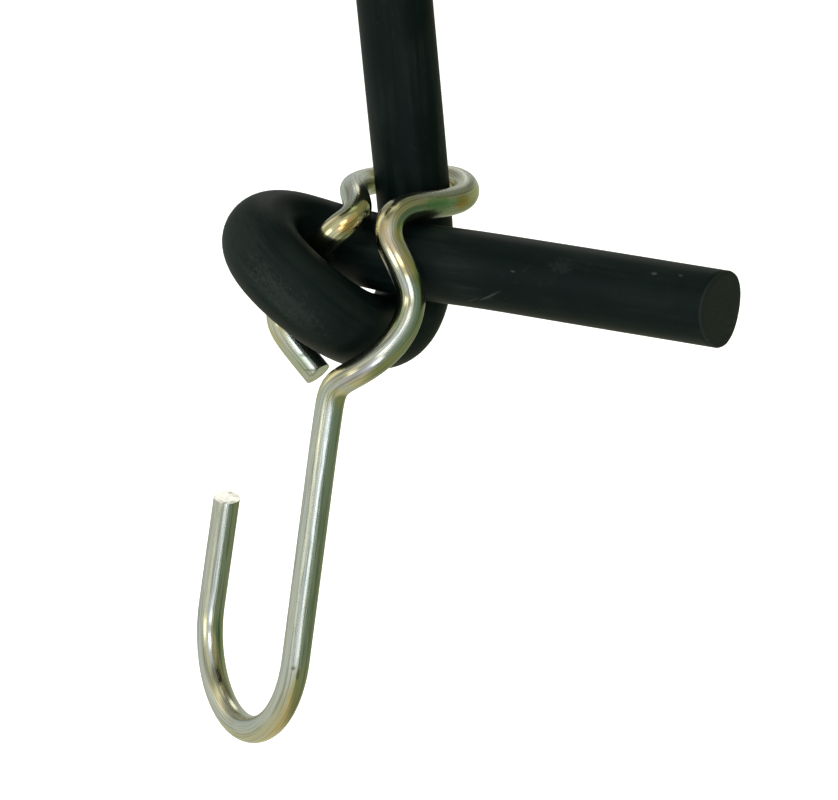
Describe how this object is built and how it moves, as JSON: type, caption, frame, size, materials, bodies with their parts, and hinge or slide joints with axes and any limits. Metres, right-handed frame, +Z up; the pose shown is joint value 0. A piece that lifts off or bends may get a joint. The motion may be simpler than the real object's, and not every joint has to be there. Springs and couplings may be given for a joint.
{
  "type": "rubber rope hook tie",
  "caption": "Stretchy solid rubber rope with a bent wire hook looped on each end; the hooks have a little swivel play and the rope between them stretches.",
  "frame": {"origin": "where the rail touches the inner side of the upper hook's bowl", "axes": "+Z up, along the straight rope and from the lower hook's seat to the upper hook's seat; -Y towards the viewer of the front, where the wire crosses the rope's tail; +X towards the lower tail"},
  "size_m": [0.0729, 0.0714, 0.1691],
  "materials": {
    "zinc_wire": "bright yellow zinc passivate on drawn wire",
    "black_rubber": "satin solid rubber with scuffs"
  },
  "bodies": {
    "upper_hook": {"upper_hook": "zinc_wire"},
    "rope_top": {"rope_upper_loop": "black_rubber", "rope_span": "black_rubber"},
    "rope_bottom": {"rope_lower_loop": "black_rubber"},
    "lower_hook": {"lower_hook": "zinc_wire"}
  },
  "joints": [
    {"name": "upper_swivel", "type": "hinge", "parent": "upper_hook", "child": "rope_top", "pos_m": [0.02841, 0.01918, -0.06213], "axis": [0, 0, 1], "range_deg": [-2.5, 2.5]},
    {"name": "rope_stretch", "type": "slide", "parent": "rope_top", "child": "rope_bottom", "axis": [0, 0, -1], "range_m": [0, 0.03], "stiffness_N_per_m": 7000, "deforming": ["rope_span"]},
    {"name": "lower_swivel", "type": "hinge", "parent": "rope_bottom", "child": "lower_hook", "pos_m": [0.02841, 0.01918, -0.10013], "axis": [0, 0, 1], "range_deg": [-2.5, 2.5]}
  ]
}
